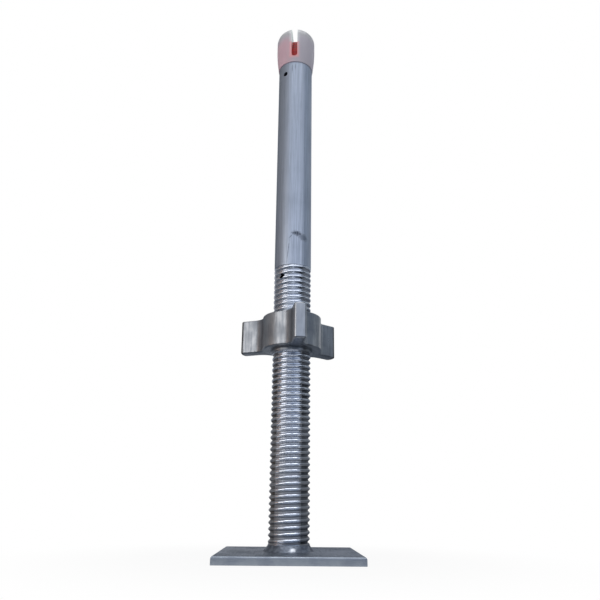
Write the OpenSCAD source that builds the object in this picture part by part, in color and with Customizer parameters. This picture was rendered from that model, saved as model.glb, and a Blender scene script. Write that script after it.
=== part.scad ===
// Scaffold base jack: a threaded aluminium spindle welded to a square foot plate,
// a three-armed nut that climbs on the thread, and a slotted friction cap on top.
// Millimetres. +Z is up. The origin is the middle of the plate's underside.

/* [Foot plate] */
// Side of the square plate
plate_w = 140; // [110:1:200]
// Thickness of the plate
plate_t = 8; // [6:0.5:14]
// Radius of the plate's rounded upper edge
plate_edge_r = 2.5; // [1:0.25:4]

/* [Weld] */
// Height of the weld bead on the tube
weld_h = 6.5; // [4:0.5:10]
// Width of the weld bead on the plate
weld_w = 5; // [3:0.5:8]
// Hollowness of the bead's face: 1 is crowned, 2 is flat
weld_hollow = 2.2; // [1:0.1:3]

/* [Spindle] */
// Outside diameter of the tube, which is also the crest of the thread
tube_d = 42; // [36:0.5:50]
// Wall of the plain tube
tube_wall = 4; // [3.5:0.25:6]
// Length of plain tube above the thread
plain_l = 276; // [120:1:400]
// Distance between two turns of the thread
thread_pitch = 6; // [5:0.25:8]
// Depth of the thread's round root
thread_depth = 2; // [1:0.1:2.5]
// Radius of the thread's round root
thread_root_r = 1.9; // [1.2:0.1:2.2]
// Number of turns of thread
thread_turns = 49; // [20:1:60]

/* [Cross holes] */
// Diameter of the two holes drilled through one wall
hole_d = 6; // [3:0.5:8]
// Direction of both holes, in degrees round from the front
hole_turn = -37.5; // [-60:0.5:60]
// Distance of the upper hole below the top of the tube
pin_hole_drop = 16; // [12:0.5:60]
// Distance of the lower hole below the end of the thread
stop_hole_drop = 13; // [8:0.5:40]

/* [Nut] */
// Height of the nut without its collar
nut_h = 38; // [25:1:60]
// Diameter of the round hub
hub_d = 65; // [58:0.5:80]
// Distance from the axis to the end of an arm
arm_reach = 59.4; // [50:0.1:75]
// Width of an arm
arm_w = 13; // [9:0.5:18]
// Radius of the hollow between an arm and the hub
arm_hollow_r = 14; // [6:0.5:16]
// Radius of an arm's end corners
arm_corner_r = 1.5; // [0.5:0.25:3]
// Direction of the front arm, in degrees round from the front
arm_turn = 8.2; // [-30:0.1:30]
// Outside diameter of the collar under the hub
collar_d = 46; // [45:0.5:54]
// Height of the collar under the hub
collar_h = 3; // [1:0.5:8]
// Whole turns of thread between the weld and the nut's hub
nut_turns_up = 33; // [4:1:38]
// Gap between the threads of the nut and the spindle
thread_gap = 0.4; // [0.2:0.05:0.8]

/* [Friction cap] */
// Largest diameter of the cap's bulb
cap_d = 48.4; // [43:0.1:56]
// Diameter of the bulb where it sits on the tube
cap_seat_d = 43.6; // [42:0.1:52]
// Height of the bulb above the tube
cap_h = 55; // [30:0.5:70]
// Height of the bulb's widest point above the tube
cap_belly_h = 30; // [20:0.5:42]
// Radius of the bulb's shoulder
cap_shoulder_r = 13; // [6:0.5:14]
// Length of the stem inside the tube
stem_l = 12; // [8:0.5:14]
// Width of the slot across the bulb
slot_w = 7.5; // [3:0.25:10]
// Direction of the slot, in degrees round from the front
slot_turn = -5.5; // [-90:0.5:90]
// Height of the slot's floor above the tube
slot_floor_h = 8; // [5:0.5:20]

/* [Cap core] */
// Diameter of the core inside the cap
core_d = 28; // [16:0.5:30]
// Height of the core's top above the tube
core_top_h = 38; // [20:0.5:40]
// Radius of the core's rounded rim
core_rim_r = 2; // [1:0.25:4]
// Gap between pieces that are pushed into each other
push_gap = 0.1; // [0.05:0.05:0.3]

/* [Hidden] */
$fn = 96;
arms = 3;
tube_r = tube_d / 2;
bore_r = tube_r - tube_wall;
thread_z = plate_t + weld_h;
thread_top_z = thread_z + thread_turns * thread_pitch;
tube_top_z = thread_top_z + plain_l;
nut_z = thread_z + nut_turns_up * thread_pitch;
groove_r = tube_r - thread_depth + thread_root_r;
cut = 1;

// Height of the middle of turn n
function turn_z(n) = thread_z + (n + 0.5) * thread_pitch;

// Points on an arc round c, from angle a to angle b
function arc(c, r, a, b, steps) =
    [for (i = [0:steps]) let (t = a + (b - a) * i / steps) c + r * [cos(t), sin(t)]];

function turned(points, angle) =
    [for (p = points) [p.x * cos(angle) - p.y * sin(angle), p.x * sin(angle) + p.y * cos(angle)]];

// A square bar with a rounded upper edge, seen from its end
module plate_profile() {
    r = plate_edge_r;
    difference() {
        translate([-plate_w / 2, 0]) square([plate_w, plate_t]);
        for (side = [-1, 1])
            translate([side * plate_w / 2, plate_t]) difference() {
                square(2 * r, center = true);
                translate([-side * r, -r]) circle(r = r);
            }
    }
}

module base_plate() {
    color("silver") intersection() {
        rotate([90, 0, 0]) linear_extrude(plate_w, center = true) plate_profile();
        rotate([90, 0, 90]) linear_extrude(plate_w, center = true) plate_profile();
    }
}

// A fillet of weld metal with a slightly hollow face, all round the foot of the tube
module weld_bead() {
    color("darkgray") translate([0, 0, plate_t]) rotate_extrude()
        polygon(concat([[tube_r, 0]],
            [for (i = [0:6]) let (t = 90 * i / 6)
                [tube_r + weld_w * pow(cos(t), weld_hollow), weld_h * pow(sin(t), weld_hollow)]]));
}

module cross_hole(z) {
    rotate([0, 0, hole_turn]) translate([0, 0, z]) rotate([90, 0, 0])
        cylinder(d = hole_d, h = tube_d);
}

module spindle() {
    color("lightgray") difference() {
        rotate_extrude() difference() {
            translate([bore_r, plate_t]) square([tube_wall, tube_top_z - plate_t]);
            for (n = [0:thread_turns - 1])
                translate([groove_r, turn_z(n)]) circle(r = thread_root_r, $fn = 32);
        }
        cross_hole(tube_top_z - pin_hole_drop);
        cross_hole(thread_top_z - stop_hole_drop);
    }
}

// The nut seen from above, with its first arm along +X
function arm_outline() =
    let (half = arm_w / 2, hub_r = hub_d / 2, hollow = arm_hollow_r, corner = arm_corner_r,
         x = sqrt(pow(hub_r + hollow, 2) - pow(half + hollow, 2)),
         a = atan2(half + hollow, x))
    concat(
        arc([x, -half - hollow], hollow, 180 - a, 90, 10),
        arc([arm_reach - corner, corner - half], corner, -90, 0, 4),
        arc([arm_reach - corner, half - corner], corner, 0, 90, 4),
        arc([x, half + hollow], hollow, -90, a - 180, 10),
        [for (i = [1:11]) let (t = a + (360 / arms - 2 * a) * i / 12) hub_r * [cos(t), sin(t)]]);

module nut_outline() {
    polygon([for (n = [0:arms - 1]) each turned(arm_outline(), arm_turn - 90 + 360 / arms * n)]);
}

// What is cut out of the nut: a bore with a groove left standing for each turn of thread
module nut_bore() {
    low = nut_z - collar_h;
    high = nut_z + nut_h;
    rotate_extrude() difference() {
        translate([0, low - cut]) square([tube_r + thread_gap, high - low + 2 * cut]);
        for (n = [0:thread_turns - 1])
            if (turn_z(n) > low + thread_root_r && turn_z(n) < high - thread_root_r)
                translate([groove_r, turn_z(n)]) circle(r = thread_root_r - thread_gap, $fn = 32);
    }
}

module collar_nut() {
    color("gray") difference() {
        union() {
            translate([0, 0, nut_z]) linear_extrude(nut_h) nut_outline();
            translate([0, 0, nut_z - collar_h]) cylinder(d = collar_d, h = collar_h + cut);
        }
        nut_bore();
    }
}

// Half of the bulb's section, which swells from its seat to the belly
module bulb_section() {
    seat_r = cap_seat_d / 2;
    belly_r = cap_d / 2;
    s = cap_shoulder_r;
    polygon(concat([[0, 0]],
        [for (i = [0:8]) [seat_r + (belly_r - seat_r) * sin(90 * i / 8), cap_belly_h * i / 8]],
        arc([belly_r - s, cap_h - s], s, 0, 90, 12),
        [[0, cap_h]]));
}

module retaining_cap() {
    color([0.78, 0.76, 0.78, 0.7]) translate([0, 0, tube_top_z]) difference() {
        rotate_extrude() {
            bulb_section();
            translate([0, -stem_l]) square([bore_r - push_gap, stem_l]);
        }
        translate([0, 0, -stem_l - cut]) cylinder(d = core_d + 2 * push_gap, h = stem_l + cut + core_top_h + push_gap);
        rotate([90, 0, slot_turn]) linear_extrude(2 * cap_d, center = true)
            translate([0, slot_floor_h + slot_w / 2]) {
                circle(d = slot_w, $fn = 48);
                translate([-slot_w / 2, 0]) square([slot_w, cap_h]);
            }
    }
}

module cap_core() {
    color("firebrick") translate([0, 0, tube_top_z - stem_l]) rotate_extrude() {
        h = core_top_h + stem_l;
        square([core_d / 2, h - core_rim_r]);
        square([core_d / 2 - core_rim_r, h]);
        translate([core_d / 2 - core_rim_r, h - core_rim_r]) circle(r = core_rim_r, $fn = 32);
    }
}

base_plate();
weld_bead();
spindle();
collar_nut();
retaining_cap();
cap_core();
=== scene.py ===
# Scaffold base jack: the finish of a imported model, in metres, with Z up.
import math

import bmesh
import bpy
from mathutils import Matrix, Vector, noise


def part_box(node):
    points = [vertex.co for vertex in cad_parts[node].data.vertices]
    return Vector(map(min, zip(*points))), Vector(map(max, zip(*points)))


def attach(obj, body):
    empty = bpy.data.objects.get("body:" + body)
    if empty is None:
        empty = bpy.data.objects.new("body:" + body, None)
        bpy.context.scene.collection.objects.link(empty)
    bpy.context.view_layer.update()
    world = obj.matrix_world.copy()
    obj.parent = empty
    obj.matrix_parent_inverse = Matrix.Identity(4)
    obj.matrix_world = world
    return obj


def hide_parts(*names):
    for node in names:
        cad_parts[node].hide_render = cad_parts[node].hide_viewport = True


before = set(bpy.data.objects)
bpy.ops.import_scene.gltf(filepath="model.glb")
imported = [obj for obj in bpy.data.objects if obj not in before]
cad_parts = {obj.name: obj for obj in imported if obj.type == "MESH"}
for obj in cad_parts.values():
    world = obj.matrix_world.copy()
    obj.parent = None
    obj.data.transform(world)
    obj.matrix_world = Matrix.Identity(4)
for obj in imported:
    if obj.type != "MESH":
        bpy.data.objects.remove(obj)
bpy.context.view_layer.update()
mm = 0.001
turn = 2 * math.pi

plateLow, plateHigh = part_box("base_plate")
weldLow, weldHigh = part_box("weld_bead")
tubeLow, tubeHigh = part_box("spindle")
nutLow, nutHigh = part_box("collar_nut")
capLow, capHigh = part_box("retaining_cap")
coreLow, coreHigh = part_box("cap_core")
tubeRadius = tubeHigh.x


def put(tree, value, socket):
    # a socket is linked, anything else becomes the default
    if isinstance(value, bpy.types.NodeSocket):
        tree.links.new(value, socket)
    elif value is not None:
        socket.default_value = value


def calc(tree, operation, *values, clamp=False):
    node = tree.nodes.new("ShaderNodeMath")
    node.operation = operation
    node.use_clamp = clamp
    for value, socket in zip(values, node.inputs):
        put(tree, value, socket)
    return node.outputs[0]


def remap(tree, value, low, high, toLow=0.0, toHigh=1.0, smooth=True):
    node = tree.nodes.new("ShaderNodeMapRange")
    node.interpolation_type = "SMOOTHSTEP" if smooth else "LINEAR"
    for name, item in zip(("Value", "From Min", "From Max", "To Min", "To Max"),
                          (value, low, high, toLow, toHigh)):
        put(tree, item, node.inputs[name])
    return node.outputs[0]


def mixColour(tree, factor, first, second):
    node = tree.nodes.new("ShaderNodeMix")
    node.data_type = "RGBA"
    node.clamp_factor = True
    put(tree, factor, node.inputs[0])
    put(tree, first, node.inputs[6])  # the node's other sockets are for floats and vectors
    put(tree, second, node.inputs[7])
    return node.outputs[2]


def distance(tree, x, y):
    squares = calc(tree, "ADD", calc(tree, "MULTIPLY", x, x), calc(tree, "MULTIPLY", y, y))
    return calc(tree, "SQRT", squares)


def objectXYZ(tree):
    split = tree.nodes.new("ShaderNodeSeparateXYZ")
    put(tree, tree.nodes.new("ShaderNodeTexCoord").outputs["Object"], split.inputs[0])
    return split.outputs


def newGroup(name, kind, sockets):
    tree = bpy.data.node_groups.new(name, kind)
    for direction, socketType, socketName, default in sockets:
        made = tree.interface.new_socket(
            name=socketName, in_out=direction, socket_type="NodeSocket" + socketType)
        if default is not None:
            made.default_value = default
    start = tree.nodes.new("NodeGroupInput")
    end = tree.nodes.new("NodeGroupOutput")
    return tree, start.outputs, end.inputs


def useGroup(tree, group, **values):
    node = tree.nodes.new("ShaderNodeGroup")
    node.node_tree = group
    for name, value in values.items():
        put(tree, value, node.inputs[name])
    return node.outputs


def grainGroup():
    # a stretched fine noise for streaks over a broad soft one for blotches
    tree, start, end = newGroup("metalGrain", "ShaderNodeTree", (
        ("INPUT", "Vector", "stretch", (1, 1, 1)),
        ("INPUT", "Float", "blotchScale", 30.0),
        ("INPUT", "Float", "streakShare", 0.5),
        ("OUTPUT", "Float", "grain", None),
        ("OUTPUT", "Float", "blotch", None)))
    place = tree.nodes.new("ShaderNodeTexCoord").outputs["Object"]
    stretched = tree.nodes.new("ShaderNodeVectorMath")
    stretched.operation = "MULTIPLY"
    put(tree, place, stretched.inputs[0])
    put(tree, start["stretch"], stretched.inputs[1])
    fine = tree.nodes.new("ShaderNodeTexNoise")
    put(tree, stretched.outputs[0], fine.inputs["Vector"])
    fine.inputs["Scale"].default_value = 1.0
    fine.inputs["Detail"].default_value = 5.0
    fine.inputs["Roughness"].default_value = 0.62
    broad = tree.nodes.new("ShaderNodeTexNoise")
    put(tree, place, broad.inputs["Vector"])
    put(tree, start["blotchScale"], broad.inputs["Scale"])
    broad.inputs["Detail"].default_value = 4.0
    share = start["streakShare"]
    rest = calc(tree, "SUBTRACT", 1.0, share)
    both = calc(tree, "ADD", calc(tree, "MULTIPLY", fine.outputs[0], share),
                calc(tree, "MULTIPLY", broad.outputs[0], rest))
    put(tree, both, end["grain"])
    put(tree, remap(tree, broad.outputs[0], 0.38, 0.64), end["blotch"])
    return tree


def markGroup():
    # a soft mark on a round surface, set by its direction round the axis and its height
    tree, start, end = newGroup("roundMark", "ShaderNodeTree", (
        ("INPUT", "Float", "direction", 0.0),
        ("INPUT", "Float", "height", 0.3),
        ("INPUT", "Float", "halfWidth", 0.002),
        ("INPUT", "Float", "halfHeight", 0.01),
        ("INPUT", "Float", "tilt", 0.0),
        ("OUTPUT", "Float", "mask", None)))
    x, y, z = objectXYZ(tree)
    angle = calc(tree, "ARCTAN2", x, calc(tree, "MULTIPLY", y, -1.0))
    up = calc(tree, "SUBTRACT", z, start["height"])
    across = calc(tree, "MULTIPLY", calc(tree, "SUBTRACT", angle, start["direction"]), tubeRadius)
    cosine = calc(tree, "COSINE", start["tilt"])
    sine = calc(tree, "SINE", start["tilt"])
    along = calc(tree, "ADD", calc(tree, "MULTIPLY", across, cosine), calc(tree, "MULTIPLY", up, sine))
    beside = calc(tree, "SUBTRACT", calc(tree, "MULTIPLY", up, cosine),
                  calc(tree, "MULTIPLY", across, sine))
    wide = calc(tree, "DIVIDE", along, start["halfWidth"])
    tall = calc(tree, "DIVIDE", beside, start["halfHeight"])
    far = distance(tree, wide, tall)
    # a fine noise eats into the mark's edge
    ragged = tree.nodes.new("ShaderNodeTexNoise")
    ragged.inputs["Scale"].default_value = 420.0
    put(tree, tree.nodes.new("ShaderNodeTexCoord").outputs["Object"], ragged.inputs["Vector"])
    far = calc(tree, "ADD", far, calc(tree, "SUBTRACT", ragged.outputs[0], 0.5))
    put(tree, remap(tree, far, 1.0, 0.3), end["mask"])
    return tree


metalGrain = grainGroup()
roundMark = markGroup()


def newMaterial(name):
    material = bpy.data.materials.new(name)
    material.use_nodes = True
    tree = material.node_tree
    shader = tree.nodes["Principled BSDF"]
    return material, tree, shader


def bumpInto(tree, shader, height, strength, depth):
    bump = tree.nodes.new("ShaderNodeBump")
    bump.inputs["Strength"].default_value = strength
    bump.inputs["Distance"].default_value = depth
    put(tree, height, bump.inputs["Height"])
    put(tree, bump.outputs[0], shader.inputs["Normal"])


def cornerWear(tree):
    # high on convex edges, 0.5 on flat faces
    return tree.nodes.new("ShaderNodeNewGeometry").outputs["Pointiness"]


# In each finish below, "grain" holds the inputs of metalGrain, "mottle" the grain's values for dull and
# for light, "rough" the roughness for low and for high grain, and "bump" a strength and a height.
def mottle(tree, finish, grain):
    # the dull tone shades into the light one over a stretch of the grain
    return mixColour(tree, remap(tree, grain, *finish["mottle"]), finish["dull"], finish["light"])


def roughen(tree, grain, rough):
    # roughness where the grain is low, and where it is high
    return remap(tree, grain, 0.3, 0.7, *rough)


def newObject(name, content):
    piece = bpy.data.objects.new(name, content)
    bpy.context.scene.collection.objects.link(piece)
    return piece


def bake(holder, name):
    # the evaluated result of an object's modifiers, as a plain mesh of its own
    bpy.context.view_layer.update()
    evaluated = holder.evaluated_get(bpy.context.evaluated_depsgraph_get())
    mesh = bpy.data.meshes.new_from_object(evaluated)
    mesh.name = name
    holder.modifiers.clear()
    bpy.data.objects.remove(holder)
    return newObject(name, mesh)


def built(name, data, closed=True):
    # a finished bmesh becomes an object, and a closed one gets its faces turned outwards
    if closed:
        bmesh.ops.recalc_face_normals(data, faces=data.faces)
    mesh = bpy.data.meshes.new(name)
    data.to_mesh(mesh)
    data.free()
    return newObject(name, mesh)


def fromTree(name, tree, values):
    holder = newObject(name + "Holder", bpy.data.meshes.new(name + "Seed"))
    modifier = holder.modifiers.new("build", "NODES")
    modifier.node_group = tree
    for item in tree.interface.items_tree:
        if item.in_out == "INPUT" and item.name in values:
            modifier[item.identifier] = values[item.name]
    return bake(holder, name)


def outward(piece):
    # normals all point out of a closed shell
    data = bmesh.new()
    data.from_mesh(piece.data)
    bmesh.ops.recalc_face_normals(data, faces=data.faces)
    data.to_mesh(piece.data)
    data.free()
    return piece


def smooth(piece, degrees=35):
    mesh = piece.data
    for polygon in mesh.polygons:
        polygon.use_smooth = True
    mesh.set_sharp_from_angle(angle=math.radians(degrees))
    # wide faces keep their own direction beside a rounded edge
    modifier = piece.modifiers.new("weigh", "WEIGHTED_NORMAL")
    modifier.keep_sharp = True
    return bake(piece, piece.name)


def combine(piece, operation, others, name):
    # the others are joined to the piece or taken out of it, and then removed
    for number, other in enumerate(others):
        modifier = piece.modifiers.new("combine" + str(number), "BOOLEAN")
        modifier.operation = operation
        modifier.solver = "EXACT"
        modifier.object = other
    piece = bake(piece, name)
    for other in others:
        bpy.data.objects.remove(other)
    return piece


def arcPoints(centre, radius, start, stop, steps):
    return [(centre[0] + radius * math.cos(start + (stop - start) * n / steps),
             centre[1] + radius * math.sin(start + (stop - start) * n / steps)) for n in range(steps + 1)]


def lathe(name, outline, segments=96):
    # outline runs from the axis round to the axis again, as (radius, height)
    data = bmesh.new()
    rings = []
    for radius, height in outline:
        if radius == 0:
            rings.append([data.verts.new((0, 0, height))])
            continue
        rings.append([data.verts.new((radius * math.cos(turn * n / segments),
                                      radius * math.sin(turn * n / segments), height))
                      for n in range(segments)])
    for lower, upper in zip(rings, rings[1:]):
        for n in range(segments):
            m = (n + 1) % segments
            # a ring on the axis is one point, so its faces are triangles
            corners = [lower[n % len(lower)], lower[m % len(lower)],
                       upper[m % len(upper)], upper[n % len(upper)]]
            corners = list(dict.fromkeys(corners))
            if len(corners) > 2:
                data.faces.new(corners)
    return built(name, data)


def prism(name, outline, low, high):
    data = bmesh.new()
    floor = data.faces.new([data.verts.new((x, y, low)) for x, y in outline])
    raised = bmesh.ops.extrude_face_region(data, geom=[floor])["geom"]
    for item in raised:
        if isinstance(item, bmesh.types.BMVert):
            item.co.z = high
    return built(name, data)


def bevel(piece, width, segments=3, degrees=40):
    modifier = piece.modifiers.new("round", "BEVEL")
    modifier.width = width
    modifier.segments = segments
    modifier.limit_method = "ANGLE"
    modifier.angle_limit = math.radians(degrees)
    return piece


def paint(piece, material):
    piece.data.materials.clear()
    piece.data.materials.append(material)
    return piece


def finished(piece, body, node):
    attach(piece, body)
    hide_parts(node)
    print(piece.name, "made:", len(piece.data.polygons), "faces")


thread = {
    "pitch": 6.0 * mm,
    "depth": 2.0 * mm,
    "halfGroove": 2.8 * mm,  # the rest of the pitch is a narrow flat crest
    "start": weldHigh.z,
    "turns": 49,
    "fade": 1.5 * mm,  # height over which the groove runs in and out
    "phase": -0.29,  # share of a turn
    "segments": 96,
    "rowsPerTurn": 18,
    "wall": 4.0 * mm,
    "gap": 0.4 * mm,  # between the threads of nut and spindle
}
threadTop = thread["start"] + thread["turns"] * thread["pitch"]


def threadTree():
    # a grid is rolled into a closed tube: foot, thread rows, top, then down the bore
    tree, start, end = newGroup("threadedTube", "GeometryNodeTree", (
        ("INPUT", "Float", "radius", 0.021),
        ("INPUT", "Float", "bore", 0.017),
        ("INPUT", "Float", "foot", 0.0),
        ("INPUT", "Float", "top", 0.5),
        ("INPUT", "Float", "threadStart", 0.0),
        ("INPUT", "Float", "threadEnd", 0.3),
        ("INPUT", "Float", "pitch", 0.006),
        ("INPUT", "Float", "depth", 0.002),
        ("INPUT", "Float", "halfGroove", 0.0022),
        ("INPUT", "Float", "fade", 0.002),
        ("INPUT", "Float", "phase", 0.0),
        ("INPUT", "Int", "segments", 96),
        ("INPUT", "Int", "rows", 600),
        ("INPUT", "Material", "material", None),
        ("OUTPUT", "Geometry", "Geometry", None)))
    rows = start["rows"]
    grid = tree.nodes.new("GeometryNodeMeshGrid")
    grid.inputs["Size X"].default_value = 1.0
    grid.inputs["Size Y"].default_value = 1.0
    put(tree, calc(tree, "ADD", start["segments"], 1.0), grid.inputs["Vertices X"])
    put(tree, calc(tree, "ADD", rows, 6.0), grid.inputs["Vertices Y"])
    split = tree.nodes.new("ShaderNodeSeparateXYZ")
    put(tree, tree.nodes.new("GeometryNodeInputPosition").outputs[0], split.inputs[0])
    angle = calc(tree, "MULTIPLY", calc(tree, "ADD", split.outputs[0], 0.5), turn)
    row = calc(tree, "MULTIPLY", calc(tree, "ADD", split.outputs[1], 0.5), calc(tree, "ADD", rows, 5.0))
    # the four rows past the thread: outer top, inner top, inner foot, and the outer foot once more
    past = [calc(tree, "GREATER_THAN", row, calc(tree, "ADD", rows, n + 0.5)) for n in range(1, 5)]
    first = calc(tree, "LESS_THAN", row, 0.5)
    isTop = calc(tree, "SUBTRACT", past[0], past[2])
    isFoot = calc(tree, "ADD", first, past[2])
    isBore = calc(tree, "SUBTRACT", past[1], past[3])
    isThread = calc(tree, "SUBTRACT", 1.0, calc(tree, "ADD", isTop, isFoot))
    run = calc(tree, "SUBTRACT", start["threadEnd"], start["threadStart"])
    # two rows go past the thread, so that the plain tube above it stays smooth
    share = calc(tree, "DIVIDE", calc(tree, "SUBTRACT", row, 1.0), calc(tree, "SUBTRACT", rows, 2.0))
    threadZ = calc(tree, "ADD", start["threadStart"], calc(tree, "MULTIPLY", run, share))
    z = calc(tree, "ADD", calc(tree, "MULTIPLY", threadZ, isThread),
             calc(tree, "ADD", calc(tree, "MULTIPLY", start["top"], isTop),
                  calc(tree, "MULTIPLY", start["foot"], isFoot)))
    # a right-hand helix: one pitch up for each turn to the left
    climbed = calc(tree, "DIVIDE", z, start["pitch"])
    turns = calc(tree, "SUBTRACT", climbed, calc(tree, "DIVIDE", angle, turn))
    within = calc(tree, "FRACT", calc(tree, "ADD", turns, start["phase"]))
    away = calc(tree, "ABSOLUTE", calc(tree, "SUBTRACT", within, 0.5))
    away = calc(tree, "MULTIPLY", away, start["pitch"])
    # the groove is one wave of a cosine, deepest in its middle
    reach = calc(tree, "MINIMUM", calc(tree, "DIVIDE", away, start["halfGroove"]), 1.0)
    wave = calc(tree, "COSINE", calc(tree, "MULTIPLY", reach, math.pi))
    dip = calc(tree, "MULTIPLY_ADD", wave, 0.5, 0.5)
    lowFade = calc(tree, "DIVIDE", calc(tree, "SUBTRACT", z, start["threadStart"]), start["fade"])
    highFade = calc(tree, "DIVIDE", calc(tree, "SUBTRACT", start["threadEnd"], z), start["fade"])
    fading = calc(tree, "MINIMUM", lowFade, highFade, clamp=True)
    cut = calc(tree, "MULTIPLY", calc(tree, "MULTIPLY", dip, start["depth"]),
               calc(tree, "MULTIPLY", fading, isThread))
    outer = calc(tree, "MULTIPLY", calc(tree, "SUBTRACT", start["radius"], cut),
                 calc(tree, "SUBTRACT", 1.0, isBore))
    radius = calc(tree, "ADD", outer, calc(tree, "MULTIPLY", start["bore"], isBore))
    join = tree.nodes.new("ShaderNodeCombineXYZ")
    put(tree, calc(tree, "MULTIPLY", radius, calc(tree, "COSINE", angle)), join.inputs[0])
    put(tree, calc(tree, "MULTIPLY", radius, calc(tree, "SINE", angle)), join.inputs[1])
    put(tree, z, join.inputs[2])
    move = tree.nodes.new("GeometryNodeSetPosition")
    put(tree, grid.outputs[0], move.inputs["Geometry"])
    put(tree, join.outputs[0], move.inputs["Position"])
    merge = tree.nodes.new("GeometryNodeMergeByDistance")
    put(tree, move.outputs[0], merge.inputs["Geometry"])
    merge.inputs["Distance"].default_value = 0.01 * mm
    real = tree.nodes.new("GeometryNodeRealizeInstances")
    put(tree, merge.outputs[0], real.inputs[0])
    coat = tree.nodes.new("GeometryNodeSetMaterial")
    put(tree, real.outputs[0], coat.inputs["Geometry"])
    put(tree, start["material"], coat.inputs["Material"])
    put(tree, coat.outputs[0], end["Geometry"])
    return tree


threadedTube = threadTree()


def threadedRod(name, start, end, halfGroove, **ends):
    # a rod or tube that has this jack's thread between two heights
    values = {key: thread[key] for key in ("pitch", "depth", "fade", "phase", "segments")}
    values["rows"] = round((end - start) / thread["pitch"] * thread["rowsPerTurn"]) + 2
    values.update(ends, threadStart=start, threadEnd=end, halfGroove=halfGroove)
    return fromTree(name, threadedTube, values)


holes = {
    "radius": 3.0 * mm,
    "direction": math.radians(-37.5),
    "heights": (tubeHigh.z - 16.0 * mm, threadTop - 13 * mm),
}

tubeFinish = {
    "grain": {"stretch": (620, 620, 20), "blotchScale": 34.0, "streakShare": 0.74},
    "mottle": (0.36, 0.62),
    "rough": (0.44, 0.28),
    "bump": (0.35, 0.25 * mm),
    "light": (0.46, 0.51, 0.60, 1),
    "dull": (0.34, 0.38, 0.455, 1),
    "stain": (0.06, 0.07, 0.09, 1),
    "bareThread": (0.70, 0.74, 0.82, 1),
    "bareRough": (0.22, 0.12),
    "bareBump": 0.12,
    "brownGrimeAndShade": (0.060, 0.044, 0.034, 1),
    "blackGreaseAndShade": (0.016, 0.021, 0.030, 1),
    # depth below the crests where the dirt and painted shade start, and where they are full
    "rootDepth": (0.3 * mm, 1.0 * mm),
    # shares of the radius: the middle of the plain stripe, and the run from plain to dirt and painted shade
    # beside it
    "plainStripeMiddle": -0.08,
    "sideRun": (0.52, 0.66),
    "brownToBlackRun": (-0.6, -0.3),
    # heights between which the dirt and painted shade on the sides get half as strong
    "sideFade": (200 * mm, 300 * mm),
    # heights between which the foot of the thread gets dirt and painted shade all round, and the least and
    # most of it
    "footRun": (170 * mm, 40 * mm),
    "footDirtAndShade": (0.06, 0.66),
    "crestDarkeningRun": (220 * mm, 60 * mm),
    "crestDarkening": (0.2, 0.7),
    "dirtRough": 0.3,
    "dirtDulls": 0.4,
}

# each mark: direction in radians round from the front, height, half width, half height, tilt, weight
tubeMarks = (
    (0.20, 346.5 * mm, 8.0 * mm, 4.2 * mm, -0.12, 0.95),
    (0.56, 342.5 * mm, 9.0 * mm, 5.5 * mm, -0.25, 0.6),
    (-0.27, 326 * mm, 0.7 * mm, 17 * mm, -0.1, 0.6),
    (-0.12, 343 * mm, 0.8 * mm, 5 * mm, -0.7, 0.6),
    (-0.20, 575 * mm, 0.9 * mm, 9 * mm, 0.0, 0.6),
    (-0.02, 577 * mm, 0.8 * mm, 7 * mm, 0.0, 0.6),
    (0.62, 480 * mm, 0.6 * mm, 60 * mm, 0.0, 0.35),
    (2.4, 430 * mm, 6.0 * mm, 4 * mm, 0.5, 0.5),
    (-1.9, 520 * mm, 0.8 * mm, 30 * mm, 0.05, 0.5),
)


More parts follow.
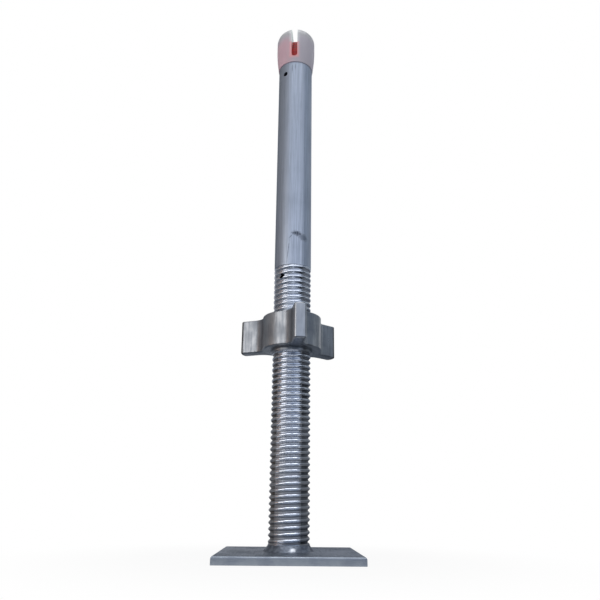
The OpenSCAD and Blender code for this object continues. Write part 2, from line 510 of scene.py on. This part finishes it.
def tubeMaterial():
    finish = tubeFinish
    material, tree, shader = newMaterial("drawnTube")
    x, y, z = objectXYZ(tree)
    grain = useGroup(tree, metalGrain, **finish["grain"])
    colour = mottle(tree, finish, grain["grain"])
    # the thread was rolled after the tube dulled, so its crests are bright
    threaded = remap(tree, z, threadTop + 1 * mm, threadTop - 2 * mm)
    colour = mixColour(tree, calc(tree, "MULTIPLY", threaded, 0.9), colour, finish["bareThread"])
    # dirt and painted shade darken the roots, on both sides of a plain stripe down the front and back
    shallow, full = finish["rootDepth"]
    root = remap(tree, distance(tree, x, y), tubeRadius - shallow, tubeRadius - full)
    aside = calc(tree, "ABSOLUTE", calc(tree, "SUBTRACT", x, finish["plainStripeMiddle"] * tubeRadius))
    side = remap(tree, aside, *[share * tubeRadius for share in finish["sideRun"]])
    side = calc(tree, "MULTIPLY", side, remap(tree, z, *finish["sideFade"], 1.0, 0.5))
    # the foot of the thread gets dirt and painted shade all round
    deep = calc(tree, "MAXIMUM", side, remap(tree, z, *finish["footRun"], *finish["footDirtAndShade"]))
    patchy = remap(tree, grain["blotch"], 0.0, 1.0, 0.85, 1.0)
    dirtAndShade = calc(tree, "MULTIPLY", calc(tree, "MULTIPLY", root, deep), patchy)
    # a thin layer of it, dirt and painted shade, reaches the crests at the sides
    crestDarkening = remap(tree, z, *finish["crestDarkeningRun"], *finish["crestDarkening"])
    dirtAndShade = calc(tree, "MAXIMUM", dirtAndShade, calc(tree, "MULTIPLY", side, crestDarkening))
    dirtAndShade = calc(tree, "MULTIPLY", dirtAndShade, threaded)
    # it is brown grime and painted shade on the left, and black grease and painted shade on the right
    blackShare = remap(tree, x, *[share * tubeRadius for share in finish["brownToBlackRun"]])
    soilAndShade = mixColour(tree, blackShare, finish["brownGrimeAndShade"], finish["blackGreaseAndShade"])
    colour = mixColour(tree, calc(tree, "MULTIPLY", dirtAndShade, 0.97), colour, soilAndShade)
    marks = None
    for direction, height, halfWidth, halfHeight, tilt, weight in tubeMarks:
        mark = useGroup(tree, roundMark, direction=direction, height=height,
                        halfWidth=halfWidth, halfHeight=halfHeight, tilt=tilt)
        mask = calc(tree, "MULTIPLY", mark["mask"], weight)
        marks = mask if marks is None else calc(tree, "MAXIMUM", marks, mask)
    marks = calc(tree, "MULTIPLY", marks, remap(tree, grain["grain"], 0.3, 0.6, 0.5, 1.0))
    colour = mixColour(tree, marks, colour, finish["stain"])
    put(tree, colour, shader.inputs["Base Color"])
    rough = roughen(tree, grain["grain"], finish["rough"])
    bareRough = roughen(tree, grain["grain"], finish["bareRough"])
    rough = remap(tree, threaded, 0.0, 1.0, rough, bareRough, smooth=False)
    rough = calc(tree, "ADD", rough, calc(tree, "MULTIPLY", dirtAndShade, finish["dirtRough"]), clamp=True)
    put(tree, rough, shader.inputs["Roughness"])
    dulled = calc(tree, "MULTIPLY", dirtAndShade, finish["dirtDulls"])
    put(tree, calc(tree, "SUBTRACT", 1.0, dulled), shader.inputs["Metallic"])
    share = remap(tree, threaded, 0.0, 1.0, 1.0, finish["bareBump"])
    height = calc(tree, "MULTIPLY", grain["grain"], share)
    bumpInto(tree, shader, height, *finish["bump"])
    return material


def holeCutter(height):
    # a round bar that reaches from the axis out through the near wall
    radius, reach = holes["radius"], 2 * tubeRadius
    cutter = lathe("holeCutter", [(0, 0), (radius, 0), (radius, reach), (0, reach)], 32)
    place = (Matrix.Translation((0, 0, height)) @ Matrix.Rotation(holes["direction"], 4, "Z")
             @ Matrix.Rotation(math.radians(90), 4, "X"))
    cutter.data.transform(place)
    return cutter


def makeSpindle():
    tube = threadedRod("spindleBlank", thread["start"], threadTop, thread["halfGroove"],
                       radius=tubeRadius, bore=tubeRadius - thread["wall"], foot=tubeLow.z, top=tubeHigh.z)
    cutters = [holeCutter(height) for height in holes["heights"]]
    tube = combine(outward(tube), "DIFFERENCE", cutters, "threadedSpindle")
    tube = paint(smooth(tube, 40), tubeMaterial())
    finished(tube, "jack", "spindle")


nut = {
    "hub": 32.5 * mm,
    "reach": 60.6 * mm,
    "halfArm": 6.5 * mm,
    "hollow": 14.0 * mm,
    "corner": 3.0 * mm,
    "endSlope": math.radians(13),
    "turned": math.radians(8.2 - 90),
    # the nut's own thread stops short of its top, to pass the end of the spindle's thread
    "relief": 4.0 * mm,
    "collar": 23.0 * mm,
    "collarHeight": 3.0 * mm,
    "collarEdge": 0.6 * mm,
    # how far the collar's blank reaches up into the hub
    "overlap": 2.0 * mm,
    "lowerEdge": 2.0 * mm,
    "upperEdge": 1.2 * mm,
}

castFinish = {
    "grain": {"stretch": (420, 420, 40), "blotchScale": 55.0, "streakShare": 0.5},
    "mottle": (0.36, 0.64),
    "rough": (0.42, 0.27),
    "bump": (0.5, 0.3 * mm),
    "light": (0.36, 0.38, 0.41, 1),
    "dull": (0.21, 0.23, 0.26, 1),
    "rubbed": (0.46, 0.48, 0.51, 1),
    "edgeRun": (0.51, 0.56),
    # painted shade on the tips of the two rear arms, a dark reflection where their ends turn away
    "tipShade": (0.075, 0.080, 0.085, 1),
    "tipShadeRun": (56.1 * mm, 57.3 * mm),
}


def castMaterial():
    finish = castFinish
    material, tree, shader = newMaterial("wornCasting")
    x, y = objectXYZ(tree)[:2]
    grain = useGroup(tree, metalGrain, **finish["grain"])["grain"]
    colour = mottle(tree, finish, grain)
    edge = remap(tree, cornerWear(tree), *finish["edgeRun"])
    colour = mixColour(tree, calc(tree, "MULTIPLY", edge, 0.8), colour, finish["rubbed"])
    # painted shade on the tips of the rear arms
    tipShade = remap(tree, distance(tree, x, y), *finish["tipShadeRun"])
    rear = remap(tree, y, 0, 10 * mm)
    tipShade = calc(tree, "MULTIPLY", calc(tree, "MULTIPLY", tipShade, rear), 0.9)
    colour = mixColour(tree, tipShade, colour, finish["tipShade"])
    put(tree, colour, shader.inputs["Base Color"])
    shader.inputs["Metallic"].default_value = 1.0
    put(tree, roughen(tree, grain, finish["rough"]), shader.inputs["Roughness"])
    bumpInto(tree, shader, grain, *finish["bump"])
    return material


def nutOutline(inset):
    # the same outline, drawn in by the inset all round
    half, hub = nut["halfArm"] - inset, nut["hub"] - inset
    hollow, corner = nut["hollow"] + inset, nut["corner"] - inset
    slope = nut["endSlope"]
    reach = nut["reach"] - inset / math.cos(slope)
    cornerX = reach - corner / math.cos(slope) - (half - corner) * math.tan(slope)
    hollowX = math.sqrt((hub + hollow) ** 2 - (half + hollow) ** 2)
    # the direction in which a hollow meets the hub
    meet = math.atan2(half + hollow, hollowX)
    quarter = math.pi / 2
    arm = arcPoints((hollowX, -half - hollow), hollow, math.pi - meet, quarter, 16)
    # the end of an arm has two faces that meet in a ridge
    arm += arcPoints((cornerX, corner - half), corner, -quarter, -slope, 6)
    arm.append((reach, 0))
    arm += arcPoints((cornerX, half - corner), corner, slope, quarter, 6)
    arm += arcPoints((hollowX, half + hollow), hollow, -quarter, meet - math.pi, 16)
    arm += arcPoints((0, 0), hub, meet, turn / 3 - meet, 22)[1:-1]
    points = []
    for n in range(3):
        swing = Matrix.Rotation(nut["turned"] + n * turn / 3, 2)
        points += [tuple(swing @ Vector(point)) for point in arm]
    return points


def nutBlank(low, high, steps=5):
    # outlines stacked from the rounded lower edge to the rounded upper edge
    data = bmesh.new()
    levels = []
    angles = [math.pi / 2 * n / steps for n in range(steps + 1)]
    for angle in angles:
        edge = nut["lowerEdge"]
        levels.append((low + edge * (1 - math.cos(angle)), edge * (1 - math.sin(angle))))
    for angle in angles:
        edge = nut["upperEdge"]
        levels.append((high - edge * (1 - math.sin(angle)), edge * (1 - math.cos(angle))))
    rings = [[data.verts.new((x, y, z)) for x, y in nutOutline(inset)] for z, inset in levels]
    data.faces.new(rings[0])
    data.faces.new(rings[-1])
    for lower, upper in zip(rings, rings[1:]):
        for n in range(len(lower)):
            m = (n + 1) % len(lower)
            data.faces.new([lower[n], lower[m], upper[m], upper[n]])
    return built("nutBody", data)


def makeNut():
    low = nutLow.z + nut["collarHeight"]
    body = nutBlank(low, nutHigh.z)
    inside = low + nut["overlap"]
    radius = nut["collar"]
    collar = lathe("nutCollar", [(0, nutLow.z), (radius, nutLow.z), (radius, inside), (0, inside)])
    collar = bake(bevel(collar, nut["collarEdge"]), "nutCollarRound")
    body = combine(body, "UNION", [collar], "nutJoined")
    start = nutLow.z - thread["pitch"]
    end = nutHigh.z - nut["relief"]
    tap = threadedRod("nutTap", start, end, thread["halfGroove"] - thread["gap"] / 2,
                      radius=tubeRadius + thread["gap"], bore=0.0,
                      foot=start - thread["pitch"], top=nutHigh.z + thread["pitch"])
    body = combine(body, "DIFFERENCE", [outward(tap)], "collarNut")
    body = paint(smooth(body, 35), castMaterial())
    finished(body, "nut", "collar_nut")


plate = {
    "edge": 2.5 * mm,
    "smallEdge": 0.35 * mm,
}

plateFinish = {
    "grain": {"stretch": (35, 35, 600), "blotchScale": 60.0, "streakShare": 0.6},
    "topGrain": {"stretch": (500, 40, 500), "blotchScale": 30.0, "streakShare": 0.45},
    "mottle": (0.36, 0.64),
    "rough": (0.55, 0.36),
    "bump": (0.5, 0.3 * mm),
    "light": (0.235, 0.265, 0.32, 1),
    "dull": (0.095, 0.115, 0.145, 1),
    "rubbed": (0.28, 0.31, 0.36, 1),
    "patch": (0.36, 0.405, 0.41, 1),
    "edgeRun": (0.505, 0.54),
}


def plateMaterial():
    # the sides have streaks along the saw cut, and the top along the rolling
    finish = plateFinish
    material, tree, shader = newMaterial("sawnPlate")
    z = objectXYZ(tree)[2]
    sides = useGroup(tree, metalGrain, **finish["grain"])
    top = useGroup(tree, metalGrain, **finish["topGrain"])
    onTop = remap(tree, z, plateHigh.z - 1.2 * mm, plateHigh.z - 0.2 * mm)
    below = calc(tree, "SUBTRACT", 1.0, onTop)
    grain = calc(tree, "ADD", calc(tree, "MULTIPLY", sides["grain"], below),
                 calc(tree, "MULTIPLY", top["grain"], onTop))
    colour = mottle(tree, finish, grain)
    patch = calc(tree, "MULTIPLY", calc(tree, "MULTIPLY", sides["blotch"], below), 0.8)
    colour = mixColour(tree, patch, colour, finish["patch"])
    worn = remap(tree, cornerWear(tree), *finish["edgeRun"], 0.0, 0.7)
    colour = mixColour(tree, worn, colour, finish["rubbed"])
    put(tree, colour, shader.inputs["Base Color"])
    shader.inputs["Metallic"].default_value = 1.0
    put(tree, roughen(tree, grain, finish["rough"]), shader.inputs["Roughness"])
    bumpInto(tree, shader, grain, *finish["bump"])
    return material


def makePlate():
    half = plateHigh.x
    outline = [(-half, -half), (half, -half), (half, half), (-half, half)]
    slab = prism("plateBlank", outline, plateLow.z, plateHigh.z)
    data = bmesh.new()
    data.from_mesh(slab.data)
    nearTop = plateHigh.z - 0.1 * mm
    upper = [edge for edge in data.edges if all(vert.co.z > nearTop for vert in edge.verts)]
    bmesh.ops.bevel(data, geom=upper, offset=plate["edge"], segments=6, profile=0.5, affect="EDGES")
    data.to_mesh(slab.data)
    data.free()
    slab = bake(bevel(slab, plate["smallEdge"], 2, 50), "footPlate")
    slab = paint(smooth(slab, 30), plateMaterial())
    finished(slab, "jack", "base_plate")


weld = {
    "ripples": 22,
    "rippleHeight": 0.05 * mm,
    # the most that the bead's foot draws in, where it is thinnest
    "wander": 1.2 * mm,
    # how many broad lumps and small knobs there are round the bead, roughly
    "lumpScale": 2.6,
    "knobScale": 6.0,
    "hollow": 2.2,
    # how far a ripple's middle lags behind its ends, as a share of its length
    "bow": 0.35,
    # how far the bead stays below its full height, to leave room for the ripples
    "room": 0.6 * mm,
    # how far the bead reaches into the tube's wall, and how deep its end lies there
    "sunk": 1.2 * mm,
    "ledge": 1.5 * mm,
    "segments": 408,
    "steps": 14,
}

weldFinish = {
    "grain": {"stretch": (260, 260, 260), "blotchScale": 140.0, "streakShare": 0.5},
    "mottle": (0.38, 0.62),
    "rough": (0.52, 0.38),
    "bump": (0.35, 0.4 * mm),
    "light": (0.21, 0.235, 0.28, 1),
    "dull": (0.11, 0.125, 0.155, 1),
    "glintTone": (0.80, 0.82, 0.86, 1),
    # painted highlight: one spot of the bead is painted bright as a glint, and made smoother
    "glint": {"direction": 0.17, "height": 10.2 * mm,
             "halfWidth": 4.5 * mm, "halfHeight": 2.0 * mm, "tilt": 0.15},
    "glintWeight": 0.4,
    "glintSmooths": 0.2,
}


def weldMaterial():
    finish = weldFinish
    material, tree, shader = newMaterial("rippledWeld")
    grain = useGroup(tree, metalGrain, **finish["grain"])["grain"]
    colour = mottle(tree, finish, grain)
    # painted highlight, a glint on the bead, with lower roughness there
    glint = calc(tree, "MULTIPLY", useGroup(tree, roundMark, **finish["glint"])["mask"], finish["glintWeight"])
    put(tree, mixColour(tree, glint, colour, finish["glintTone"]), shader.inputs["Base Color"])
    shader.inputs["Metallic"].default_value = 1.0
    smoother = calc(tree, "MULTIPLY", glint, finish["glintSmooths"])
    rough = calc(tree, "SUBTRACT", roughen(tree, grain, finish["rough"]), smoother)
    put(tree, rough, shader.inputs["Roughness"])
    bumpInto(tree, shader, grain, *finish["bump"])
    return material


def weldRing(angle):
    # the bead's section at this angle, from inside the wall at the foot round to inside it at the top
    height = weldHigh.z - weldLow.z
    width = weldHigh.x - tubeRadius
    side = Vector((math.cos(angle), math.sin(angle), 0))
    lumps = 0.5 + 0.5 * noise.noise(side * weld["lumpScale"]) + 0.4 * noise.noise(side * weld["knobScale"])
    inner = side * (tubeRadius - weld["sunk"])
    ring = [inner + Vector((0, 0, weldLow.z))]
    for k in range(weld["steps"] + 1):
        climb = k / weld["steps"]
        quarter = climb * math.pi / 2
        lag = weld["bow"] * math.sin(math.pi * climb)
        beat = (angle / turn * weld["ripples"] + lag) % 1.0
        swell = math.sin(math.pi * min(1, 0.1 + climb))
        ripple = (1 - abs(2 * beat - 1)) ** 0.7 * weld["rippleHeight"] * swell
        out = (width - weld["wander"] * lumps) * math.cos(quarter) ** weld["hollow"] + ripple * 0.5
        up = (height - weld["room"]) * math.sin(quarter) ** weld["hollow"] + ripple * 0.6
        out = min(max(out, 0), width)
        up = min(up, height) if k > 0 else 0
        ring.append(side * (tubeRadius + out) + Vector((0, 0, weldLow.z + up)))
    ring.append(inner + Vector((0, 0, weldHigh.z - weld["ledge"])))
    return ring


def makeWeld():
    data = bmesh.new()
    count = weld["segments"]
    rings = [[data.verts.new(point) for point in weldRing(turn * n / count)] for n in range(count)]
    for n, ring in enumerate(rings):
        other = rings[(n + 1) % count]
        for k in range(len(ring)):
            m = (k + 1) % len(ring)
            data.faces.new([ring[k], ring[m], other[m], other[k]])
    bead = paint(smooth(built("weldBead", data), 60), weldMaterial())
    finished(bead, "jack", "weld_bead")


cap = {
    "seat": 21.8 * mm,
    "belly": 24.2 * mm,
    "bellyHeight": 30 * mm,
    "shoulder": 13 * mm,
    "stem": 12 * mm,
    "stemRadius": 16.9 * mm,
    "coreGap": 0.1 * mm,
    "slotWidth": 7.5 * mm,
    "slotTurn": math.radians(-5.5),
    "slotFloor": 8 * mm,
    "edge": 0.35 * mm,
    # how far a cutter reaches past the cap
    "past": 10 * mm,
}

capFinish = {
    "grain": {"stretch": (300, 300, 300), "blotchScale": 60.0, "streakShare": 0.3},
    "rough": (0.42, 0.32),
    "bump": (0.25, 0.2 * mm),
    "milky": (0.47, 0.45, 0.53, 1),
    "redShine": (0.72, 0.38, 0.44, 1),
    "top": (0.53, 0.55, 0.56, 1),
    "haze": (0.55, 0.54, 0.57, 1),
    # painted light: the pale tone where light comes through beside the slot
    "edge": (0.78, 0.84, 0.83, 1),
    "redGlow": (0.95, 0.33, 0.31, 1),
    # painted light: the red core shines through on the left, painted into the colour across the cap, and
    # down from its top
    "redShineAcross": (2 * mm, -14 * mm),
    "redShineDown": (10 * mm, 26 * mm),
    "topDown": (22 * mm, 8 * mm),
    "glowWidth": 4.5 * mm,
    "glow": 0.16,
    "transmission": 0.18,
    "ior": 1.45,
}


def capMaterial():
    finish = capFinish
    material, tree, shader = newMaterial("milkyPlastic")
    x, y, z = objectXYZ(tree)
    grain = useGroup(tree, metalGrain, **finish["grain"])["grain"]
    # painted light: the red core's shine through the plastic on the left
    redShine = calc(tree, "MULTIPLY", remap(tree, x, *finish["redShineAcross"]),
                 remap(tree, z, *[capHigh.z - down for down in finish["redShineDown"]]))
    colour = mixColour(tree, calc(tree, "MULTIPLY", redShine, 0.6), finish["milky"], finish["redShine"])
    upper = remap(tree, z, *[capHigh.z - down for down in finish["topDown"]], 0.0, 0.8)
    colour = mixColour(tree, upper, colour, finish["top"])
    colour = mixColour(tree, remap(tree, grain, 0.35, 0.65, 0.0, 0.12), colour, finish["haze"])
    # painted light: light that comes through the thin plastic at the slot is painted into the colour and a
    # faint emission, red beside the core, pale above it
    aside = calc(tree, "ADD", calc(tree, "MULTIPLY", x, math.cos(cap["slotTurn"])),
                 calc(tree, "MULTIPLY", y, math.sin(cap["slotTurn"])))
    aside = calc(tree, "ABSOLUTE", aside)
    slotHalf = cap["slotWidth"] / 2
    nearSlot = remap(tree, aside, slotHalf + finish["glowWidth"], slotHalf - 0.5 * mm)
    above = remap(tree, z, coreHigh.z - 10 * mm, coreHigh.z - 7 * mm)
    beside = calc(tree, "MULTIPLY", calc(tree, "SUBTRACT", 1.0, above),
                  remap(tree, z, tubeHigh.z + 4 * mm, tubeHigh.z + 9 * mm))
    # the slot's own walls get the palest painted light
    wall = remap(tree, aside, slotHalf + 0.3 * mm, slotHalf + 0.1 * mm)
    pale = calc(tree, "MAXIMUM", calc(tree, "MULTIPLY", nearSlot, 0.5), wall)
    pale = calc(tree, "MULTIPLY", pale, above)
    red = calc(tree, "MULTIPLY", calc(tree, "MULTIPLY", nearSlot, beside), 0.6)
    colour = mixColour(tree, pale, colour, finish["edge"])
    colour = mixColour(tree, red, colour, finish["redGlow"])
    put(tree, colour, shader.inputs["Base Color"])
    # the painted light also glows faintly, though the cap is no lamp
    lit = mixColour(tree, calc(tree, "MAXIMUM", pale, red), (0, 0, 0, 1), colour)
    put(tree, lit, shader.inputs["Emission Color"])
    shader.inputs["Emission Strength"].default_value = finish["glow"]
    put(tree, roughen(tree, grain, finish["rough"]), shader.inputs["Roughness"])
    shader.inputs["Transmission Weight"].default_value = finish["transmission"]
    shader.inputs["IOR"].default_value = finish["ior"]
    bumpInto(tree, shader, grain, *finish["bump"])
    return material


def makeCap():
    base = tubeHigh.z
    top = capHigh.z
    outline = [(0, base - cap["stem"]), (cap["stemRadius"], base - cap["stem"]), (cap["stemRadius"], base)]
    # the bulb swells from its seat to its belly as a quarter of a sine
    swell = cap["belly"] - cap["seat"]
    outline += [(cap["seat"] + swell * math.sin(math.pi / 2 * n / 12), base + cap["bellyHeight"] * n / 12)
                for n in range(13)]
    shoulder = cap["shoulder"]
    outline += arcPoints((cap["belly"] - shoulder, top - shoulder), shoulder, 0, math.pi / 2, 16)
    outline.append((0, top))
    bulb = lathe("capBulb", outline, 128)
    hollowRadius = coreHigh.x + cap["coreGap"]
    hollowLow = base - cap["stem"] - cap["past"]
    hollowHigh = coreHigh.z + cap["coreGap"]
    hollow = lathe("capHollow", [(0, hollowLow), (hollowRadius, hollowLow),
                                 (hollowRadius, hollowHigh), (0, hollowHigh)])
    half = cap["slotWidth"] / 2
    middle = base + cap["slotFloor"] + half
    shape = arcPoints((0, middle), half, -math.pi, 0, 16)
    shape += [(half, top + cap["past"]), (-half, top + cap["past"])]
    slot = prism("capSlot", shape, -2 * cap["belly"], 2 * cap["belly"])
    swing = Matrix.Rotation(cap["slotTurn"], 4, "Z") @ Matrix.Rotation(math.radians(90), 4, "X")
    slot.data.transform(swing)
    outward(slot)
    bulb = combine(bulb, "DIFFERENCE", [hollow, slot], "frictionCap")
    bulb = bake(bevel(bulb, cap["edge"], 2), "frictionCap")
    bulb = paint(smooth(bulb, 40), capMaterial())
    finished(bulb, "jack", "retaining_cap")


core = {
    "rim": 2 * mm,
}

coreFinish = {
    "grain": {"stretch": (60, 60, 900), "blotchScale": 80.0, "streakShare": 0.7},
    "mottle": (0.35, 0.65),
    "rough": (0.5, 0.35),
    "bump": (0.4, 0.3 * mm),
    "light": (0.52, 0.024, 0.020, 1),
    "dull": (0.34, 0.013, 0.011, 1),
    "shadow": (0.10, 0.006, 0.006, 1),
    # moulded rings round the upper end
    "ringSpacing": 3.2 * mm,
    "ringZone": 14 * mm,
    "ringDepth": 2.0,
}


def coreMaterial():
    finish = coreFinish
    material, tree, shader = newMaterial("redPlastic")
    z = objectXYZ(tree)[2]
    grain = useGroup(tree, metalGrain, **finish["grain"])["grain"]
    colour = mottle(tree, finish, grain)
    down = calc(tree, "SUBTRACT", coreHigh.z, z)
    beat = calc(tree, "FRACT", calc(tree, "DIVIDE", down, finish["ringSpacing"]))
    dip = remap(tree, calc(tree, "ABSOLUTE", calc(tree, "SUBTRACT", beat, 0.5)), 0.22, 0.42)
    ringed = calc(tree, "MULTIPLY", dip, remap(tree, down, finish["ringZone"], 0.6 * finish["ringZone"]))
    colour = mixColour(tree, calc(tree, "MULTIPLY", ringed, 0.7), colour, finish["shadow"])
    put(tree, colour, shader.inputs["Base Color"])
    put(tree, roughen(tree, grain, finish["rough"]), shader.inputs["Roughness"])
    height = calc(tree, "SUBTRACT", grain, calc(tree, "MULTIPLY", ringed, finish["ringDepth"]))
    bumpInto(tree, shader, height, *finish["bump"])
    return material


def makeCore():
    radius, rim = coreHigh.x, core["rim"]
    outline = [(0, coreLow.z), (radius, coreLow.z)]
    outline += arcPoints((radius - rim, coreHigh.z - rim), rim, 0, math.pi / 2, 8)
    outline.append((0, coreHigh.z))
    insert = paint(smooth(lathe("redCore", outline), 40), coreMaterial())
    finished(insert, "jack", "cap_core")


makePlate()
makeWeld()
makeSpindle()
makeNut()
makeCap()
makeCore()

studio = {
    "ambient": 0.55,
    "floorHalf": 6.0,
    "floorDepth": 0.02,
    "floorTone": (0.80, 0.80, 0.80, 1),
    "floorRough": 0.8,
    # the floor glows white from the outer radius on, and a little less inside the inner one
    "floorGlow": 0.90,
    "glowRun": (0.08, 0.34),
}


def seenRay(tree):
    # 1 for rays that look at the background, by eye, by gloss or through plastic
    path = tree.nodes.new("ShaderNodeLightPath")
    seen = calc(tree, "MAXIMUM", path.outputs["Is Camera Ray"], path.outputs["Is Glossy Ray"])
    return calc(tree, "MAXIMUM", seen, path.outputs["Is Transmission Ray"])


def makeWorld():
    world = bpy.data.worlds.new("paleStudio")
    bpy.context.scene.world = world
    world.use_nodes = True
    tree = world.node_tree
    background = tree.nodes["Background"]
    background.inputs["Color"].default_value = (1, 1, 1, 1)
    strength = remap(tree, seenRay(tree), 0, 1, studio["ambient"], 1.0, smooth=False)
    put(tree, strength, background.inputs["Strength"])


def makeFloor():
    half = studio["floorHalf"]
    outline = [(-half, -half), (half, -half), (half, half), (-half, half)]
    floor = prism("floor", outline, -studio["floorDepth"], 0)
    material, tree, shader = newMaterial("paleFloor")
    shader.inputs["Base Color"].default_value = studio["floorTone"]
    shader.inputs["Roughness"].default_value = studio["floorRough"]
    glow = tree.nodes.new("ShaderNodeEmission")
    mix = tree.nodes.new("ShaderNodeMixShader")
    x, y = objectXYZ(tree)[:2]
    share = remap(tree, distance(tree, x, y), *studio["glowRun"], studio["floorGlow"], 1.0)
    put(tree, calc(tree, "MULTIPLY", seenRay(tree), share), mix.inputs[0])
    put(tree, shader.outputs[0], mix.inputs[1])
    put(tree, glow.outputs[0], mix.inputs[2])
    put(tree, mix.outputs[0], tree.nodes["Material Output"].inputs["Surface"])
    paint(floor, material)


cards = {
    "radius": 1.6,
    # each wall stands this much inside the one before it
    "stagger": 0.02,
    "steps": 14,
    "floorSteps": 48,
    # each card: from and to in degrees round from the front, lowest and highest edge, tone
    "walls": {
        "cardLowLeft": (-30, 4, 0.0, 0.22, (0.07, 0.10, 0.16)),
        "cardLowRight": (4, 60, 0.0, 0.2, (0.36, 0.44, 0.58)),
        "cardMidLeft": (-26, 2, 0.2, 0.62, (0.47, 0.54, 0.68)),
        "cardMidRight": (2, 38, 0.2, 0.62, (0.54, 0.65, 0.85)),
        "cardMidEdge": (38, 60, 0.2, 0.60, (0.78, 0.86, 1.00)),
        "cardFrontHigh": (-32, 68, 0.62, 1.12, (1.00, 1.05, 1.16)),
        "cardFrontTop": (-38, 62, 1.12, 2.25, (0.56, 0.60, 0.67)),
        "cardSideTop": (-66, -38, 0.9, 3.0, (0.50, 0.50, 0.52)),
        "cardWarm": (-92, -66, 0.0, 0.5, (0.80, 0.51, 0.35)),
        "cardLeft": (-130, -92, 0.0, 0.5, (0.22, 0.21, 0.20)),
        "cardLeftTop": (-130, -66, 0.5, 3.0, (0.32, 0.32, 0.33)),
        "cardLeftBack": (-180, -130, 0.0, 3.0, (0.17, 0.19, 0.21)),
        "cardDark": (60, 87, 0.0, 0.5, (0.008, 0.012, 0.018)),
        "cardDusk": (60, 98, 0.5, 1.0, (0.30, 0.35, 0.42)),
        "cardDim": (62, 98, 1.0, 3.0, (0.38, 0.43, 0.50)),
        "cardRightEdge": (87, 105, 0.0, 0.5, (0.62, 0.66, 0.68)),
        "cardRightLow": (105, 132, 0.0, 0.6, (0.19, 0.22, 0.25)),
        "cardRight": (98, 180, 0.6, 3.0, (0.38, 0.42, 0.47)),
        "cardBackRight": (130, 180, 0.0, 0.40, (0.12, 0.14, 0.20)),
        "cardBackLeft": (180, 230, 0.0, 0.40, (0.62, 0.64, 0.70)),
        "cardLowSide": (-66, -30, 0.0, 0.19, (0.42, 0.40, 0.41)),
    },
    # the floor in between: from and to in degrees, height and tone
    "inner": 0.12,
    "floors": {
        "cardGround": (-180, 180, 1 * mm, (0.14, 0.16, 0.19)),
        "cardGroundDark": (58, 88, 2 * mm, (0.010, 0.012, 0.015)),
    },
}


def card(name, outline, tone):
    # a card that only reflections see, so that it shapes the metal's highlights
    data = bmesh.new()
    corners = [[data.verts.new(point) for point in pair] for pair in outline]
    for here, there in zip(corners, corners[1:]):
        data.faces.new([here[0], there[0], there[1], here[1]])
    piece = built(name, data, closed=False)
    material = bpy.data.materials.new(name)
    material.use_nodes = True
    tree = material.node_tree
    tree.nodes.clear()
    glow = tree.nodes.new("ShaderNodeEmission")
    glow.inputs["Color"].default_value = (*tone, 1)
    end = tree.nodes.new("ShaderNodeOutputMaterial")
    put(tree, glow.outputs[0], end.inputs["Surface"])
    paint(piece, material)
    piece.visible_camera = False
    piece.visible_diffuse = False
    piece.visible_transmission = False
    piece.visible_shadow = False


def bend(radius, start, stop, steps):
    # an arc between two directions in degrees round from the front, which is -Y
    return arcPoints((0, 0), radius, math.radians(start - 90), math.radians(stop - 90), steps)


def makeCards():
    radius = cards["radius"]
    for number, (name, (start, stop, low, high, tone)) in enumerate(cards["walls"].items()):
        foot = bend(radius - cards["stagger"] * number, start, stop, cards["steps"])
        card(name, [((x, y, low), (x, y, high)) for x, y in foot], tone)
    for name, (start, stop, height, tone) in cards["floors"].items():
        inner = bend(cards["inner"], start, stop, cards["floorSteps"])
        outer = bend(radius, start, stop, cards["floorSteps"])
        card(name, [((*near, height), (*far, height)) for near, far in zip(inner, outer)], tone)


# each lamp: place, the point that it faces, width and height, power, tone
lamps = {
    "softLeft": ((-1.14, -0.99, 0.32), (0, 0, 0.25), (0.86, 0.60), 4.0, (1.0, 0.95, 0.90)),
    "softRight": ((1.3, -1.6, 1.6), (0, 0, 0.35), (1.4, 1.2), 0.8, (0.86, 0.92, 1.0)),
    "softTop": ((0.1, -0.55, 2.2), (0, 0, 0.3), (1.7, 1.1), 12.0, (0.95, 0.97, 1.0)),
}


def makeLamp(name, place, target, size, power, tone):
    light = bpy.data.lights.new(name, "AREA")
    light.shape = "RECTANGLE"
    light.size, light.size_y = size
    light.energy = power
    light.color = tone
    holder = newObject(name, light)
    holder.location = place
    aim = (Vector(target) - Vector(place)).to_track_quat("-Z", "Y")
    holder.rotation_euler = aim.to_euler()


makeWorld()
makeFloor()
makeCards()
for lampName, lampValues in lamps.items():
    makeLamp(lampName, *lampValues)
print("stage set:", len(cards["walls"]) + len(cards["floors"]), "cards and", len(lamps), "lamps")

# the camera stands in front, near the floor, and is turned up, to the right and a little on its side
view = {
    "distance": 0.659,
    "height": 0.0499,
    "aside": -0.0036,
    "up": math.radians(18.68),
    "right": math.radians(1.073),
    "roll": math.radians(0.594),
    "lens": 36.71,
    "sensor": 36,
    "nearest": 0.01,
}


def makeCamera():
    camera = bpy.data.cameras.new("camera")
    camera.lens = view["lens"]
    camera.sensor_width = view["sensor"]
    camera.sensor_fit = "HORIZONTAL"
    camera.clip_start = view["nearest"]
    holder = newObject("camera", camera)
    pose = (Matrix.Rotation(-view["right"], 4, "Z") @ Matrix.Rotation(math.pi / 2 + view["up"], 4, "X")
            @ Matrix.Rotation(view["roll"], 4, "Z"))
    holder.matrix_world = Matrix.Translation((view["aside"], -view["distance"], view["height"])) @ pose
    bpy.context.scene.camera = holder


makeCamera()
bpy.context.scene.view_settings.view_transform = "Standard"
